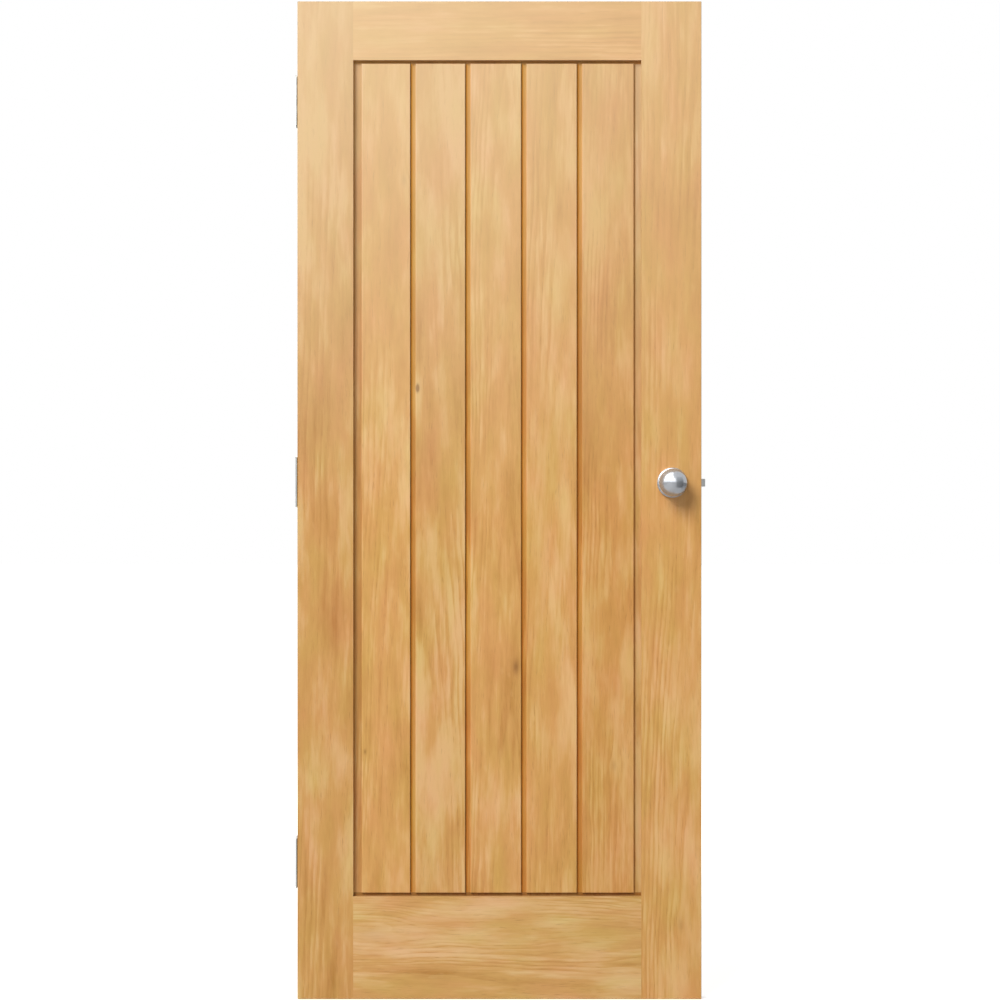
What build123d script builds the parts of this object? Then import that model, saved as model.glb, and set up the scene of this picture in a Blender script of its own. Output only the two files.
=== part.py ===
from build123d import *
import os
from math import acos, cos, degrees, radians, sin, sqrt

# A solid oak boarded door leaf with its hinges, ball knobs and tubular latch, in millimetres.
# The origin is the middle of the leaf's bottom edge. X runs to the lock side, Y from the
# front face to the back face and Z up. The hinge knuckles stand at the back face.

# Leaf
leaf_width = 826.0
leaf_height = 2040.0
leaf_thickness = 40.0
hinge_stile_width = 114.0
lock_stile_width = 123.0
top_rail_width = 120.0
bottom_rail_width = 210.0
leaf_arris = 1.0

# Groove round the opening, and what is left free in it
groove_depth = 12.0
expansion_gap = 2.0
glue_gap = 0.5
slip_fit = 0.1

# Dowels through the corner joints
dowel_radius = 6.0
dowel_length = 120.0
dowel_inset = 32.0
top_rail_dowels = 2
bottom_rail_dowels = 3

# Boards: a trim is how much wider than the mean that board was ripped
board_trims = (-3.1, -1.1, 0.9, 0.4, 2.9)
board_recess = 6.0
board_rebate = 6.0
board_arris = 1.0
channel_width = 11.0
left_margin = 17.0
right_margin = 15.0
end_margin = 6.5
board_gap = 0.6
board_tongue_length = 8.0
board_tongue_thickness = 6.0

# Butt hinges
hinge_height = 102.0
hinge_thickness = 2.5
hinge_gap = 2.0
plate_width = 31.0
hinge_from_top = 150.0
hinge_from_bottom = 225.0
knuckle_radius = 6.5
knuckle_count = 5
washer_gap = 1.0
plain_gap = 0.3
knuckle_clearance = 0.5
washer_thickness = 0.8
pin_radius = 3.4
pin_grip = 0.03
pin_head_radius = 5.6
pin_head_height = 2.4
pin_tip = 2.0
outer_screw_spread = 76.0
inner_screw_spread = 28.0
outer_screw_from_back = 22.0
inner_screw_from_back = 10.0
jamb_hole_radius = 2.75
door_hole_radius = 2.5
hinge_sink_radius = 4.6

# Wood screws of the hinges and of the faceplate
hinge_screw_radius = 2.4
hinge_screw_head = 4.4
hinge_screw_length = 32.0
faceplate_screw_radius = 1.8
faceplate_screw_head = 3.6
faceplate_screw_length = 20.0
sink_angle = 90.0

# Where the knob turns
backset = 60.0
spindle_height = 1056.0
spindle_side = 8.0
spindle_length = 92.0
running_fit = 0.05
moving_gap = 0.3

# Tubular latch
case_wall = 1.2
case_rear_room = 3.2
plate_height = 57.0
plate_depth = 25.4
plate_thickness = 2.0
faceplate_screw_spread = 41.2
faceplate_hole_radius = 2.1
faceplate_sink_radius = 3.8
bolt_height = 16.0
bolt_thickness = 11.0
bolt_projection = 9.2
bolt_length = 27.0
bolt_bevel = 8.2
bolt_nose_radius = 0.8
tail_radius = 2.0
tail_head_radius = 3.2
tail_head_length = 1.0
guide_thickness = 1.5
spring_radius = 4.7
spring_wire_radius = 0.45
spring_wire_sides = 6
spring_turns = 4.5

# Follower on the spindle, and the retractor that its lobes pull
hub_radius = 7.0
hub_proud = 0.5
lobe_angle = 60.0
lobe_tip_radius = 1.5
lobe_arm_width = 2.0
lobe_thickness = 9.2
lobe_side_gap = 0.5
lobe_end_gap = 1.1
cheek_thickness = 1.5
pad_gap = 0.2
pad_thickness = 2.5
hub_slot_gap = 0.4
tail_head_gap = 1.6
bar_thickness = 3.0

# Knobs and roses
ball_radius = 28.5
knob_projection = 68.0
neck_radius = 9.0
neck_wall = 1.5
neck_fillet = 2.0
neck_start = 0.8
shank_length = 28.0
grub_radius = 2.0
rose_radius = 31.0
rose_height = 8.0
rose_wall = 1.2
rose_edge_radius = 3.0
rose_plate_thickness = 2.5
collar_radius = 12.0
collar_height = 5.0
rose_bolt_spread = 38.0
rose_bolt_radius = 2.0
rose_bolt_head_radius = 3.8
rose_bolt_head_height = 2.2
rose_bolt_length = 32.0
post_radius = 3.8
post_length = 25.0
spindle_bore_radius = 10.0

# Places that follow from the leaf's sizes
hinge_edge = -leaf_width / 2
lock_edge = leaf_width / 2
back_face = leaf_thickness / 2
opening_left = hinge_edge + hinge_stile_width
opening_right = lock_edge - lock_stile_width
opening_bottom = bottom_rail_width
opening_top = leaf_height - top_rail_width
opening_width = opening_right - opening_left
opening_middle = (opening_left + opening_right) / 2
board_thickness = leaf_thickness - 2 * board_recess
flange_thickness = board_thickness - 2 * board_rebate
groove_width = flange_thickness + 2 * slip_fit
engagement = groove_depth - expansion_gap

# Places that follow from the hinges' sizes
pin_x = hinge_edge - hinge_gap / 2
pin_y = back_face + sqrt((knuckle_radius + knuckle_clearance) ** 2 - (hinge_gap / 2) ** 2)
plate_front = back_face - plate_width
knuckle_gaps = knuckle_count // 2 * washer_gap + (knuckle_count - 1) // 2 * plain_gap
knuckle_length = (hinge_height - knuckle_gaps) / knuckle_count
top_hinge_z = leaf_height - hinge_from_top - hinge_height / 2
bottom_hinge_z = hinge_from_bottom + hinge_height / 2
hinge_heights = {
    "top": top_hinge_z,
    "middle": (top_hinge_z + bottom_hinge_z) / 2,
    "bottom": bottom_hinge_z,
}
hinge_screw_spots = [
    (back_face - from_back, side * spread / 2)
    for from_back, spread in (
        (outer_screw_from_back, outer_screw_spread),
        (inner_screw_from_back, inner_screw_spread),
    )
    for side in (-1, 1)
]

# Sizes and places that follow from the latch's working parts, along X from the spindle
spindle_x = lock_edge - backset
spindle_hole = spindle_side + 2 * running_fit
lobe_radius = bolt_projection / (2 * cos(radians(lobe_angle)))
cavity_thickness = lobe_thickness + 2 * lobe_side_gap
retractor_thickness = cavity_thickness + 2 * cheek_thickness
inner_thickness = retractor_thickness + 2 * moving_gap
inner_radius = lobe_radius + lobe_tip_radius + lobe_end_gap
case_thickness = inner_thickness + 2 * case_wall
case_radius = inner_radius + case_wall
retractor_height = 2 * sqrt((inner_radius - moving_gap) ** 2 - (retractor_thickness / 2) ** 2)
pad_front = spindle_x + lobe_radius * cos(radians(lobe_angle)) - lobe_tip_radius - pad_gap
pad_rear = pad_front - pad_thickness
hub_slot_front = spindle_x + hub_radius + bolt_projection + moving_gap
hub_slot_height = 2 * (hub_radius + hub_slot_gap)
lobe_reach = spindle_x + lobe_radius + lobe_tip_radius
bar_rear = lobe_reach + bolt_projection + tail_head_length + tail_head_gap
bar_front = bar_rear + bar_thickness
guide_rear = bar_front + moving_gap
guide_front = guide_rear + guide_thickness
bolt_tip = lock_edge + bolt_projection
bolt_rear = bolt_tip - bolt_length
case_front = lock_edge - 2 * plate_thickness
case_rear = pad_rear - bolt_projection - case_rear_room - case_wall

# Places that follow from the knobs' and the roses' sizes, outwards from the leaf's face
ball_centre = knob_projection - ball_radius
neck_end = ball_centre - sqrt(ball_radius**2 - neck_radius**2)
shank_radius = neck_radius - neck_wall
grub_place = (rose_height + neck_end) / 2
rose_plate_radius = rose_radius - rose_wall - slip_fit
rose_bolt_heights = [spindle_height + side * rose_bolt_spread / 2 for side in (-1, 1)]
plate_screw_heights = [spindle_height + side * faceplate_screw_spread / 2 for side in (-1, 1)]

os.makedirs("parts", exist_ok=True)


def spread_evenly(first, last, count):
    return [first + (last - first) * i / max(count - 1, 1) for i in range(count)]


def facing_x(x, y, z, way=1):
    """A place whose own Z axis points along X."""
    return Plane(origin=(x, y, z), x_dir=(0, 1, 0), z_dir=(way, 0, 0)).location


def facing_y(x, y, z, way=1):
    """A place whose own Z axis points along Y."""
    return Plane(origin=(x, y, z), x_dir=(1, 0, 0), z_dir=(0, way, 0)).location


def bore(radius, depth):
    """A hole from the place that it is put at, back against that place's Z axis."""
    Cylinder(radius, depth, align=(Align.CENTER, Align.CENTER, Align.MAX), mode=Mode.SUBTRACT)


dowel_heights = spread_evenly(
    opening_top + dowel_inset, leaf_height - dowel_inset, top_rail_dowels
) + spread_evenly(dowel_inset, opening_bottom - dowel_inset, bottom_rail_dowels)


def bore_for_dowels(x, heights):
    """Holes across a joint line at x, a little longer than the dowels."""
    with Locations(*[facing_x(x, 0, z) for z in heights]):
        Cylinder(dowel_radius + slip_fit, dowel_length + 2 * glue_gap, mode=Mode.SUBTRACT)


def stile_section(outer_x, width, inner_x, outward):
    """A stile's section: outward is the X direction of its outer edge."""
    outer = Align.MAX if outward > 0 else Align.MIN
    inner = Align.MIN if outward > 0 else Align.MAX
    with BuildSketch(Plane.XY) as section:
        with Locations((outer_x, 0)):
            Rectangle(width, leaf_thickness, align=(outer, Align.CENTER))
        with Locations((inner_x, 0)):
            Rectangle(
                groove_depth, groove_width, align=(inner, Align.CENTER), mode=Mode.SUBTRACT
            )
    return section.sketch


def arrises(stile, outward):
    """The edges of a stile's outer side and the face edges of its two ends."""
    side = stile.faces().sort_by(Axis.X)[-1 if outward > 0 else 0].edges()
    ends = stile.edges().filter_by(Axis.X).group_by(Axis.Y)
    return side + ends[0] + ends[-1]


# Hinge stile
with BuildPart() as hinge_stile:
    extrude(stile_section(hinge_edge, hinge_stile_width, opening_left, -1), amount=leaf_height)
    chamfer(arrises(hinge_stile.part, -1), leaf_arris)
    bore_for_dowels(opening_left, dowel_heights)
    # beds for the hinge plates, open to the back face
    with Locations(*[(hinge_edge, plate_front - slip_fit, z) for z in hinge_heights.values()]):
        Box(
            2 * hinge_thickness,
            plate_width + leaf_thickness,
            hinge_height + 2 * slip_fit,
            align=(Align.CENTER, Align.MIN, Align.CENTER),
            mode=Mode.SUBTRACT,
        )
    # pilot holes for the hinge screws
    for z in hinge_heights.values():
        with Locations(*[facing_x(hinge_edge, y, z + dz, -1) for y, dz in hinge_screw_spots]):
            bore(hinge_screw_radius + running_fit, hinge_screw_length + glue_gap)
hinge_stile.part.label = "hinge_stile"
export_step(hinge_stile.part, "parts/hinge_stile.step")

# Lock stile
with BuildPart() as lock_stile:
    extrude(stile_section(lock_edge, lock_stile_width, opening_right, 1), amount=leaf_height)
    chamfer(arrises(lock_stile.part, 1), leaf_arris)
    bore_for_dowels(opening_right, dowel_heights)
    # bed for the latch's two plates
    with Locations((lock_edge, 0, spindle_height)):
        Box(
            4 * plate_thickness,
            plate_depth + 2 * slip_fit,
            plate_height + 2 * slip_fit,
            mode=Mode.SUBTRACT,
        )
    # bore for the latch case
    with Locations(facing_x(lock_edge, 0, spindle_height)):
        bore(case_radius + slip_fit, lock_edge - case_rear + glue_gap)
    # cross bores for the spindle and for the rose posts
    with Locations(facing_y(spindle_x, back_face, spindle_height)):
        bore(spindle_bore_radius, leaf_thickness)
    with Locations(*[facing_y(spindle_x, back_face, z) for z in rose_bolt_heights]):
        bore(post_radius + slip_fit, leaf_thickness)
    # pilot holes for the faceplate screws
    with Locations(*[facing_x(lock_edge, 0, z) for z in plate_screw_heights]):
        bore(faceplate_screw_radius + running_fit, faceplate_screw_length + glue_gap)
lock_stile.part.label = "lock_stile"
export_step(lock_stile.part, "parts/lock_stile.step")


def rail_blank(bottom, width, groove_z, tongue_z, outer_z):
    """A rail with a groove along its inner edge and a tongue at each end."""
    with BuildPart() as rail:
        with Locations((opening_middle, 0, bottom + width / 2)):
            Box(opening_width, leaf_thickness, width)
        with Locations((opening_middle, 0, groove_z)):
            Box(opening_width, groove_width, 2 * groove_depth, mode=Mode.SUBTRACT)
        with Locations((opening_middle, 0, tongue_z)):
            Box(
                opening_width + 2 * (groove_depth - glue_gap),
                flange_thickness,
                width - groove_depth,
                align=(Align.CENTER, Align.CENTER, Align.MIN),
            )
        at_outer_edge = rail.edges().filter_by(Axis.X).filter_by_position(Axis.Z, outer_z, outer_z)
        long_edges = at_outer_edge.group_by(Axis.Y)
        chamfer(long_edges[0] + long_edges[-1], leaf_arris)
        heights = [z for z in dowel_heights if bottom < z < bottom + width]
        bore_for_dowels(opening_left, heights)
        bore_for_dowels(opening_right, heights)
    return rail.part


# Top rail
with BuildPart() as top_rail:
    add(
        rail_blank(
            opening_top, top_rail_width, opening_top, opening_top + groove_depth, leaf_height
        )
    )
top_rail.part.label = "top_rail"
export_step(top_rail.part, "parts/top_rail.step")

# Bottom rail
with BuildPart() as bottom_rail:
    add(rail_blank(0, bottom_rail_width, opening_bottom, 0, 0))
bottom_rail.part.label = "bottom_rail"
export_step(bottom_rail.part, "parts/bottom_rail.step")

# Dowels across the four corner joints
with BuildPart() as frame_dowels:
    with Locations(
        *[facing_x(x, 0, z) for x in (opening_left, opening_right) for z in dowel_heights]
    ):
        Cylinder(dowel_radius, dowel_length)
frame_dowels.part.label = "frame_dowels"
export_step(frame_dowels.part, "parts/frame_dowels.step")

# Boards: a raised field, a thinner flange to its left and a tongue, and a groove on the right
board_count = len(board_trims)
channels = (board_count - 1) * channel_width
mean_field = (opening_width - left_margin - right_margin - channels) / board_count
trim_balance = sum(board_trims) / board_count
board_bottom = opening_bottom - groove_depth
board_top = opening_top + engagement
field_bottom = opening_bottom + end_margin
field_top = opening_top - end_margin

field_left = opening_left + left_margin
for number, trim in enumerate(board_trims, start=1):
    field_right = field_left + mean_field + trim - trim_balance
    first = number == 1
    last = number == board_count
    flange_left = opening_left - engagement if first else field_left - channel_width + board_gap
    flange_right = opening_right + engagement if last else field_right
    with BuildPart() as board:
        with BuildSketch(Plane.XY.offset(board_bottom)):
            with Locations((flange_left, 0)):
                Rectangle(
                    flange_right - flange_left,
                    flange_thickness,
                    align=(Align.MIN, Align.CENTER),
                )
                if not first:
                    Rectangle(
                        board_tongue_length,
                        board_tongue_thickness,
                        align=(Align.MAX, Align.CENTER),
                    )
        extrude(amount=board_top - board_bottom)
        with BuildSketch(Plane.XY.offset(field_bottom)):
            with Locations((field_left, 0)):
                Rectangle(
                    field_right - field_left, board_thickness, align=(Align.MIN, Align.CENTER)
                )
        extrude(amount=field_top - field_bottom)
        faces = board.faces().sort_by(Axis.Y)
        chamfer(faces[0].edges() + faces[-1].edges(), board_arris)
        if not last:
            with BuildSketch(Plane.XY.offset(board_bottom)):
                with Locations((field_right, 0)):
                    Rectangle(
                        board_tongue_length + glue_gap - board_gap,
                        board_tongue_thickness + 2 * slip_fit,
                        align=(Align.MAX, Align.CENTER),
                    )
            extrude(amount=board_top - board_bottom, mode=Mode.SUBTRACT)
    board.part.label = f"board_{number}"
    export_step(board.part, f"parts/board_{number}.step")
    field_left = field_right + channel_width


def knuckle_foot(centre_z, knuckle):
    """The foot of a knuckle, counted from the bottom: a washer is under each odd one."""
    gaps = (knuckle + 1) // 2 * washer_gap + knuckle // 2 * plain_gap
    return centre_z - hinge_height / 2 + knuckle * knuckle_length + gaps


def hinge_plate(side, centre_z, knuckles, bore_radius, hole_radius):
    """One leaf of a hinge, on the door's side of the gap where side is 1."""
    gap_face = pin_x + side * hinge_gap / 2
    plate_middle = gap_face + side * hinge_thickness / 2
    with BuildPart() as plate:
        with Locations((plate_middle, plate_front, centre_z)):
            Box(
                hinge_thickness,
                plate_width,
                hinge_height,
                align=(Align.CENTER, Align.MIN, Align.CENTER),
            )
        for knuckle in knuckles:
            with BuildSketch(Plane.XY.offset(knuckle_foot(centre_z, knuckle))):
                with Locations((pin_x, pin_y)):
                    Circle(knuckle_radius)
                with Locations((plate_middle, back_face)):
                    Rectangle(
                        hinge_thickness, pin_y - back_face, align=(Align.CENTER, Align.MIN)
                    )
            extrude(amount=knuckle_length)
        with Locations((pin_x, pin_y, centre_z)):
            Cylinder(bore_radius, hinge_height, mode=Mode.SUBTRACT)
        spots = [facing_x(gap_face, y, centre_z + dz, -side) for y, dz in hinge_screw_spots]
        with Locations(*spots):
            CounterSinkHole(
                hole_radius, hinge_sink_radius, hinge_thickness, counter_sink_angle=sink_angle
            )
    return plate.part


def countersunk_screw(radius, head_radius, length):
    """A screw with its head's face at the place that it is put at."""
    from_head = (Align.CENTER, Align.CENTER, Align.MAX)
    Cone(radius, head_radius, head_radius - radius, align=from_head)
    Cylinder(radius, length, align=from_head)


# Hinges: the frame's leaf has the outer knuckles, and the door's leaf turns between them
for place, centre_z in hinge_heights.items():
    with BuildPart() as frame_leaf:
        outer_knuckles = range(0, knuckle_count, 2)
        add(hinge_plate(-1, centre_z, outer_knuckles, pin_radius + pin_grip, jamb_hole_radius))
    frame_leaf.part.label = f"hinge_{place}_frame_leaf"
    export_step(frame_leaf.part, f"parts/hinge_{place}_frame_leaf.step")

    with BuildPart() as door_leaf:
        inner_knuckles = range(1, knuckle_count, 2)
        add(hinge_plate(1, centre_z, inner_knuckles, pin_radius + running_fit, door_hole_radius))
    door_leaf.part.label = f"hinge_{place}_door_leaf"
    export_step(door_leaf.part, f"parts/hinge_{place}_door_leaf.step")

    with BuildPart() as pin:
        with Locations((pin_x, pin_y, centre_z - hinge_height / 2 - pin_tip)):
            Cylinder(
                pin_radius,
                hinge_height + pin_tip + pin_head_height / 2,
                align=(Align.CENTER, Align.CENTER, Align.MIN),
            )
        chamfer(pin.edges().sort_by(Axis.Z)[0], pin_tip / 2)
        with Locations((pin_x, pin_y, centre_z + hinge_height / 2)):
            Cylinder(
                pin_head_radius,
                pin_head_height,
                align=(Align.CENTER, Align.CENTER, Align.MIN),
            )
        chamfer(pin.edges().sort_by(Axis.Z)[-1], pin_head_height / 2)
    pin.part.label = f"hinge_{place}_pin"
    export_step(pin.part, f"parts/hinge_{place}_pin.step")

# Washers under the door's knuckles
with BuildPart() as hinge_washers:
    washer_drop = (washer_gap + washer_thickness) / 2
    for centre_z in hinge_heights.values():
        for knuckle in range(1, knuckle_count, 2):
            with BuildSketch(Plane.XY.offset(knuckle_foot(centre_z, knuckle) - washer_drop)):
                with Locations((pin_x, pin_y)):
                    Circle(knuckle_radius)
                    Circle(pin_radius + slip_fit, mode=Mode.SUBTRACT)
            extrude(amount=washer_thickness)
hinge_washers.part.label = "hinge_washers"
export_step(hinge_washers.part, "parts/hinge_washers.step")

# Screws that hold the door's hinge leaves
with BuildPart() as hinge_screws:
    for centre_z in hinge_heights.values():
        spots = [facing_x(hinge_edge, y, centre_z + dz, -1) for y, dz in hinge_screw_spots]
        with Locations(*spots):
            countersunk_screw(hinge_screw_radius, hinge_screw_head, hinge_screw_length)
hinge_screws.part.label = "hinge_screws"
export_step(hinge_screws.part, "parts/hinge_screws.step")


def flattened_round(x, radius, thickness):
    """A circle cut flat on both sides, across the latch at x."""
    with BuildSketch(Plane.YZ.offset(x)) as section:
        with Locations((0, spindle_height)):
            Circle(radius)
            Rectangle(thickness, 2 * radius, mode=Mode.INTERSECT)
    return section.sketch


def box_along_x(rear, front, thickness, height, mode=Mode.ADD):
    """A box on the latch's axis, from rear to front."""
    with Locations(((rear + front) / 2, 0, spindle_height)):
        Box(front - rear, thickness, height, mode=mode)


# Latch case: a tube flattened on two sides, closed at the rear
with BuildPart() as latch_case:
    case_length = case_front - case_rear
    extrude(flattened_round(case_rear, case_radius, case_thickness), amount=case_length)
    extrude(
        flattened_round(case_rear + case_wall, inner_radius, inner_thickness),
        amount=case_length,
        mode=Mode.SUBTRACT,
    )
    with Locations(facing_y(spindle_x, case_thickness / 2, spindle_height)):
        bore(hub_radius + running_fit, case_thickness)
latch_case.part.label = "latch_case"
export_step(latch_case.part, "parts/latch_case.step")

# Guide plate that the bolt's tail slides through and the spring pushes against
with BuildPart() as latch_guide:
    guide_outline = flattened_round(
        guide_rear, inner_radius - running_fit, inner_thickness - 2 * running_fit
    )
    extrude(guide_outline, amount=guide_thickness)
    with Locations(facing_x(guide_front, 0, spindle_height)):
        bore(tail_radius + moving_gap, guide_thickness)
latch_guide.part.label = "latch_guide"
export_step(latch_guide.part, "parts/latch_guide.step")

# Forend plate on the case, and the faceplate over it
with BuildPart() as latch_forend:
    box_along_x(case_front, case_front + plate_thickness, plate_depth, plate_height)
    box_along_x(
        case_front,
        lock_edge,
        bolt_thickness + 2 * moving_gap,
        bolt_height + 2 * moving_gap,
        mode=Mode.SUBTRACT,
    )
    with Locations(*[facing_x(lock_edge, 0, z) for z in plate_screw_heights]):
        bore(faceplate_hole_radius, 2 * plate_thickness)
latch_forend.part.label = "latch_forend"
export_step(latch_forend.part, "parts/latch_forend.step")

with BuildPart() as latch_faceplate:
    box_along_x(case_front + plate_thickness, lock_edge, plate_depth, plate_height)
    box_along_x(
        case_front,
        lock_edge,
        bolt_thickness + 2 * moving_gap,
        bolt_height + 2 * moving_gap,
        mode=Mode.SUBTRACT,
    )
    with Locations(*[facing_x(lock_edge, 0, z) for z in plate_screw_heights]):
        CounterSinkHole(
            faceplate_hole_radius,
            faceplate_sink_radius,
            plate_thickness,
            counter_sink_angle=sink_angle,
        )
latch_faceplate.part.label = "latch_faceplate"
export_step(latch_faceplate.part, "parts/latch_faceplate.step")

with BuildPart() as faceplate_screws:
    with Locations(*[facing_x(lock_edge, 0, z) for z in plate_screw_heights]):
        countersunk_screw(faceplate_screw_radius, faceplate_screw_head, faceplate_screw_length)
faceplate_screws.part.label = "faceplate_screws"
export_step(faceplate_screws.part, "parts/faceplate_screws.step")

# Bolt: its bevel faces the front, where it meets the strike, and its tail is riveted to the bar
with BuildPart() as latch_bolt:
    bolt_front_face = -bolt_thickness / 2
    with BuildSketch(Plane.XY.offset(spindle_height - bolt_height / 2)):
        with BuildLine():
            Polyline(
                (bolt_rear, bolt_front_face),
                (bolt_tip - bolt_bevel, bolt_front_face),
                (bolt_tip, bolt_front_face + bolt_bevel),
                (bolt_tip, bolt_thickness / 2),
                (bolt_rear, bolt_thickness / 2),
                close=True,
            )
        make_face()
        fillet(vertices().group_by(Axis.X)[-1], bolt_nose_radius)
    extrude(amount=bolt_height)
    with Locations(facing_x(bolt_rear, 0, spindle_height, -1)):
        Cylinder(
            tail_radius,
            bolt_rear - bar_rear,
            align=(Align.CENTER, Align.CENTER, Align.MIN),
        )
    with Locations(facing_x(bar_rear, 0, spindle_height, -1)):
        Cylinder(
            tail_head_radius,
            tail_head_length,
            align=(Align.CENTER, Align.CENTER, Align.MIN),
        )
latch_bolt.part.label = "latch_bolt"
export_step(latch_bolt.part, "parts/latch_bolt.step")

# Retractor: two cheeks either side of the lobes, pads behind them and a bar in front
with BuildPart() as latch_retractor:
    box_along_x(pad_rear, bar_front, retractor_thickness, retractor_height)
    box_along_x(
        pad_front, bar_rear, cavity_thickness, 2 * retractor_height, mode=Mode.SUBTRACT
    )
    box_along_x(
        pad_rear - pad_thickness,
        hub_slot_front,
        2 * retractor_thickness,
        hub_slot_height,
        mode=Mode.SUBTRACT,
    )
    with Locations(facing_x(bar_front, 0, spindle_height)):
        bore(tail_radius + running_fit, bar_thickness)
latch_retractor.part.label = "latch_retractor"
export_step(latch_retractor.part, "parts/latch_retractor.step")

# Spring between the guide plate and the bolt
with BuildPart() as latch_spring:
    spring_start = guide_front + spring_wire_radius + slip_fit
    spring_rise = bolt_rear - spring_wire_radius - slip_fit - spring_start
    with BuildLine():
        coil = Helix(
            spring_rise / spring_turns,
            spring_rise,
            spring_radius,
            center=(spring_start, 0, spindle_height),
            direction=(1, 0, 0),
        )
    with BuildSketch(Plane(origin=coil @ 0, z_dir=coil % 0)):
        RegularPolygon(spring_wire_radius, spring_wire_sides)
    sweep(is_frenet=True)
latch_spring.part.label = "latch_spring"
export_step(latch_spring.part, "parts/latch_spring.step")

# Follower: a hub with two lobes, bearing in the sides of the case
with BuildPart() as latch_follower:
    with BuildSketch(Plane.XZ):
        with Locations((spindle_x, spindle_height)):
            Circle(hub_radius)
    extrude(amount=case_thickness / 2 + hub_proud, both=True)
    with BuildSketch(Plane.XZ):
        for side in (-1, 1):
            with Locations((spindle_x, spindle_height)):
                Rectangle(
                    lobe_radius,
                    lobe_arm_width,
                    rotation=side * lobe_angle,
                    align=(Align.MIN, Align.CENTER),
                )
            lobe_x = spindle_x + lobe_radius * cos(radians(lobe_angle))
            lobe_z = spindle_height + side * lobe_radius * sin(radians(lobe_angle))
            with Locations((lobe_x, lobe_z)):
                Circle(lobe_tip_radius)
    extrude(amount=lobe_thickness / 2, both=True)
    with Locations((spindle_x, 0, spindle_height)):
        Box(spindle_hole, 2 * case_thickness, spindle_hole, mode=Mode.SUBTRACT)
latch_follower.part.label = "latch_follower"
export_step(latch_follower.part, "parts/latch_follower.step")

# Spindle through both knobs
with BuildPart() as spindle:
    with Locations((spindle_x, 0, spindle_height)):
        Box(spindle_side, spindle_length, spindle_side)
spindle.part.label = "spindle"
export_step(spindle.part, "parts/spindle.step")

spindle_axis = Axis((spindle_x, 0, spindle_height), (0, 1, 0))


def turning_plane(side):
    """A plane through the spindle's axis: its Y runs outwards from the face on that side."""
    return Plane(
        origin=(spindle_x, side * back_face, spindle_height), x_dir=(1, 0, 0), z_dir=(0, 0, side)
    )


def grub_spot(side):
    return (spindle_x, side * (back_face + grub_place), spindle_height)


# Knobs, shanks, rose covers and rose plates, on the front face and on the back face
for name, side in (("front", -1), ("back", 1)):
    with BuildPart() as knob:
        with BuildSketch(turning_plane(side)):
            with BuildLine():
                neck_bore = shank_radius + running_fit
                bore_end = neck_start + shank_length + slip_fit
                ball_start = -degrees(acos(neck_radius / ball_radius))
                Polyline(
                    (0, knob_projection),
                    (0, bore_end),
                    (neck_bore, bore_end),
                    (neck_bore, neck_start),
                    (neck_radius, neck_start),
                    (neck_radius, neck_end),
                )
                CenterArc((0, ball_centre), ball_radius, ball_start, 90 - ball_start)
            make_face()
            corner = vertices().sort_by_distance((neck_radius, neck_end))[0]
            fillet(corner, neck_fillet)
        revolve(axis=spindle_axis)
        with Locations(grub_spot(side)):
            bore(grub_radius + running_fit, 2 * neck_radius)
    knob.part.label = f"{name}_knob"
    export_step(knob.part, f"parts/{name}_knob.step")

    with BuildPart() as shank:
        with Locations(facing_y(spindle_x, side * (back_face + neck_start), spindle_height, side)):
            Cylinder(
                shank_radius, shank_length, align=(Align.CENTER, Align.CENTER, Align.MIN)
            )
            Box(spindle_hole, spindle_hole, 2 * shank_length, mode=Mode.SUBTRACT)
        with Locations(grub_spot(side)):
            bore(grub_radius + running_fit, neck_radius)
    shank.part.label = f"{name}_knob_shank"
    export_step(shank.part, f"parts/{name}_knob_shank.step")

    with BuildPart() as rose_cover:
        from_hole = (Align.MIN, Align.MIN)
        cover_hole = neck_radius + moving_gap
        cover_depth = rose_height - rose_wall
        with BuildSketch(turning_plane(side)):
            with Locations((cover_hole, 0)):
                Rectangle(rose_radius - cover_hole, rose_height, align=from_hole)
                fillet(
                    vertices().sort_by_distance((rose_radius, rose_height))[0], rose_edge_radius
                )
                Rectangle(
                    rose_radius - rose_wall - cover_hole,
                    cover_depth,
                    align=from_hole,
                    mode=Mode.SUBTRACT,
                )
        revolve(axis=spindle_axis)
    rose_cover.part.label = f"{name}_rose_cover"
    export_step(rose_cover.part, f"parts/{name}_rose_cover.step")

    with BuildPart() as rose_plate:
        from_leaf = (Align.CENTER, Align.CENTER, Align.MIN)
        with Locations(facing_y(spindle_x, side * back_face, spindle_height, side)):
            Cylinder(rose_plate_radius, rose_plate_thickness, align=from_leaf)
            Cylinder(collar_radius, collar_height, align=from_leaf)
            Cylinder(neck_radius + running_fit, 2 * collar_height, mode=Mode.SUBTRACT)
        if side < 0:
            with Locations(*[facing_y(spindle_x, -back_face, z) for z in rose_bolt_heights]):
                Cylinder(post_radius, post_length, align=from_leaf)
            post_end = post_length - back_face
            with Locations(*[facing_y(spindle_x, post_end, z) for z in rose_bolt_heights]):
                bore(rose_bolt_radius + running_fit, post_length - rose_wall)
        else:
            plate_face = back_face + rose_plate_thickness
            with Locations(*[facing_y(spindle_x, plate_face, z) for z in rose_bolt_heights]):
                bore(rose_bolt_radius + slip_fit, rose_plate_thickness)
    rose_plate.part.label = f"{name}_rose_plate"
    export_step(rose_plate.part, f"parts/{name}_rose_plate.step")

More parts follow.
